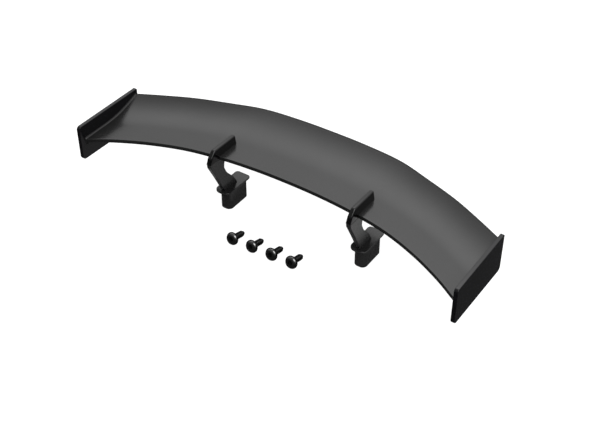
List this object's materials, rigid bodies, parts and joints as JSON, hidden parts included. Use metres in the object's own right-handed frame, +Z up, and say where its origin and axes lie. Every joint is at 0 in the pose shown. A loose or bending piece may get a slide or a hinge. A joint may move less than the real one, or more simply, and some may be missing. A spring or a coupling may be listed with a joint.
{
  "type": "model car rear wing",
  "caption": "Bowed rear wing for a model racing car, with end plates, swan-neck uprights on plug-in feet and loose mounting screws.",
  "frame": {"origin": "the point on the table midway between the undersides of the two feet, which is also the middle of the four pilot holes", "axes": "+X along the span, +Y rearwards from leading edge to trailing edge, +Z up"},
  "size_m": [0.19, 0.0629, 0.0385],
  "materials": {
    "wing_plastic": "black moulded nylon, satin",
    "end_plate_plastic": "black moulded nylon, satin",
    "upright_plastic": "black moulded nylon, semi-gloss",
    "screw_steel": "black-oxide steel, semi-gloss"
  },
  "bodies": {
    "wing": {"wing_blade": "wing_plastic", "left_end_plate": "end_plate_plastic", "right_end_plate": "end_plate_plastic", "left_fin": "upright_plastic", "right_fin": "upright_plastic", "left_strut": "upright_plastic", "right_strut": "upright_plastic", "left_foot": "upright_plastic", "right_foot": "upright_plastic"},
    "screw_1": {"mounting_screw_1": "screw_steel"},
    "screw_2": {"mounting_screw_2": "screw_steel"},
    "screw_3": {"mounting_screw_3": "screw_steel"},
    "screw_4": {"mounting_screw_4": "screw_steel"}
  },
  "joints": [
    {"name": "screw_1_lift", "type": "slide", "parent": "wing", "child": "screw_1", "axis": [0, 0, 1], "range_m": [0, 0.04]},
    {"name": "screw_2_lift", "type": "slide", "parent": "wing", "child": "screw_2", "axis": [0, 0, 1], "range_m": [0, 0.04]},
    {"name": "screw_3_lift", "type": "slide", "parent": "wing", "child": "screw_3", "axis": [0, 0, 1], "range_m": [0, 0.04]},
    {"name": "screw_4_lift", "type": "slide", "parent": "wing", "child": "screw_4", "axis": [0, 0, 1], "range_m": [0, 0.04]}
  ]
}
